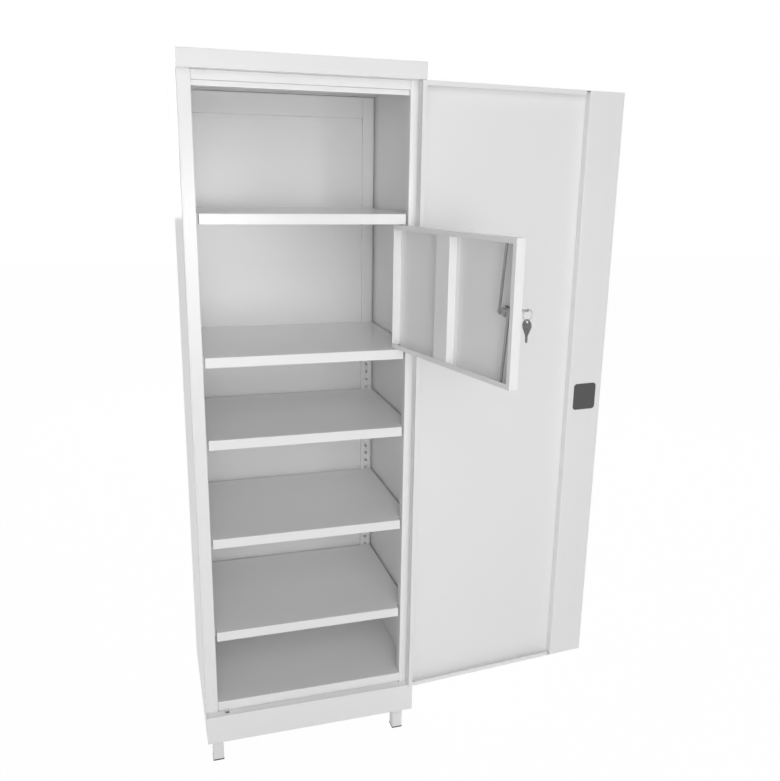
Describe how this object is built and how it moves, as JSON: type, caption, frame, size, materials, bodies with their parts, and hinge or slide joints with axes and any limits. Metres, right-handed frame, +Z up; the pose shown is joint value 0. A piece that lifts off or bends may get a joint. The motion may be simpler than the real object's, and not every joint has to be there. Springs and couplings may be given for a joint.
{
  "type": "medical cabinet",
  "caption": "Tall white sheet-steel medical cabinet on four legs with a rod-locked door and an inner strongbox with its own door.",
  "frame": {"origin": "on the floor under the centre of the carcass", "axes": "+Z up, the cabinet's front faces -Y, the doors hinge on the +X side"},
  "size_m": [0.9834, 0.7804, 1.595],
  "materials": {
    "white_powder_coat": "satin",
    "zinc_steel": "satin",
    "chrome": "gloss",
    "grey_plastic": "matte",
    "black_plastic": "matte",
    "nylon": "matte"
  },
  "bodies": {
    "carcass": {"right_side_panel": "white_powder_coat", "left_side_panel": "white_powder_coat", "back_panel": "white_powder_coat", "top_cap": "white_powder_coat", "ceiling_panel": "white_powder_coat", "header_rail": "white_powder_coat", "rear_top_rail": "white_powder_coat", "plinth": "white_powder_coat", "floor_panel": "white_powder_coat", "front_right_upright": "white_powder_coat", "front_left_upright": "white_powder_coat", "rear_right_upright": "white_powder_coat", "rear_left_upright": "white_powder_coat", "strongbox_roof": "white_powder_coat", "strongbox_floor": "white_powder_coat", "shelf_1": "white_powder_coat", "shelf_2": "white_powder_coat", "shelf_3": "white_powder_coat", "shelf_clips": "zinc_steel", "front_right_leg": "white_powder_coat", "front_left_leg": "white_powder_coat", "rear_right_leg": "white_powder_coat", "rear_left_leg": "white_powder_coat", "front_right_foot": "black_plastic", "front_left_foot": "black_plastic", "rear_right_foot": "black_plastic", "rear_left_foot": "black_plastic", "door_pivot_top": "zinc_steel", "door_pivot_bottom": "zinc_steel", "strongbox_pivot_top": "zinc_steel", "strongbox_pivot_bottom": "zinc_steel"},
    "main_door": {"door_tray": "white_powder_coat", "lock_channel": "white_powder_coat", "lock_cover": "grey_plastic", "escutcheon": "grey_plastic", "door_glide": "nylon", "door_bushes": "nylon"},
    "main_handle": {"knob": "grey_plastic", "key_cylinder": "chrome", "main_crank": "zinc_steel", "main_crank_nut": "zinc_steel"},
    "main_rod_up": {"main_upper_rod": "zinc_steel"},
    "main_rod_down": {"main_lower_rod": "zinc_steel"},
    "strongbox_door": {"strongbox_door_tray": "white_powder_coat", "strongbox_stiffener": "white_powder_coat", "strongbox_lock_barrel": "chrome", "strongbox_barrel_nut": "chrome", "strongbox_bushes": "nylon"},
    "strongbox_lock": {"strongbox_lock_plug": "chrome", "strongbox_crank": "zinc_steel", "strongbox_crank_nut": "zinc_steel"},
    "strongbox_rod_up": {"strongbox_upper_rod": "zinc_steel"},
    "strongbox_rod_down": {"strongbox_lower_rod": "zinc_steel"}
  },
  "joints": [
    {"name": "main_door_hinge", "type": "hinge", "parent": "carcass", "child": "main_door", "pos_m": [0.243, -0.194, 0.8535], "axis": [0, 0, 1], "range_deg": [-184.8, 0]},
    {"name": "main_handle_turn", "type": "hinge", "parent": "main_door", "child": "main_handle", "pos_m": [0.68684, -0.16155, 0.8535], "axis": [-0.0837, 0.9965, 0], "range_deg": [0, 90]},
    {"name": "main_rod_up_pin", "type": "hinge", "parent": "main_handle", "child": "main_rod_up", "pos_m": [0.67316, -0.16591, 0.8535], "axis": [-0.0837, 0.9965, 0], "range_deg": [-92, 0]},
    {"name": "main_rod_down_pin", "type": "hinge", "parent": "main_handle", "child": "main_rod_down", "pos_m": [0.70106, -0.16356, 0.8535], "axis": [-0.0837, 0.9965, 0], "range_deg": [-92, 0]},
    {"name": "strongbox_door_hinge", "type": "hinge", "parent": "carcass", "child": "strongbox_door", "pos_m": [0.2115, -0.161, 1.131], "axis": [0, 0, 1], "range_deg": [-102.5, 0]},
    {"name": "strongbox_lock_turn", "type": "hinge", "parent": "strongbox_door", "child": "strongbox_lock", "pos_m": [0.28951, -0.54522, 1.133], "axis": [0.9763, 0.2164, 0], "range_deg": [0, 90]},
    {"name": "strongbox_rod_up_pin", "type": "hinge", "parent": "strongbox_lock", "child": "strongbox_rod_up", "pos_m": [0.28336, -0.53225, 1.133], "axis": [0.9763, 0.2164, 0], "range_deg": [-97, 0]},
    {"name": "strongbox_rod_down_pin", "type": "hinge", "parent": "strongbox_lock", "child": "strongbox_rod_down", "pos_m": [0.28942, -0.55958, 1.133], "axis": [0.9763, 0.2164, 0], "range_deg": [-97, 0]}
  ],
  "couplings": [
    {"joint": "strongbox_door_hinge", "follows": "main_door_hinge", "ratio": 0.5546},
    {"joint": "main_rod_up_pin", "follows": "main_handle_turn", "ratio": -1.0126},
    {"joint": "main_rod_down_pin", "follows": "main_handle_turn", "ratio": -1.0126},
    {"joint": "strongbox_rod_up_pin", "follows": "strongbox_lock_turn", "ratio": -1.0665},
    {"joint": "strongbox_rod_down_pin", "follows": "strongbox_lock_turn", "ratio": -1.0646}
  ]
}
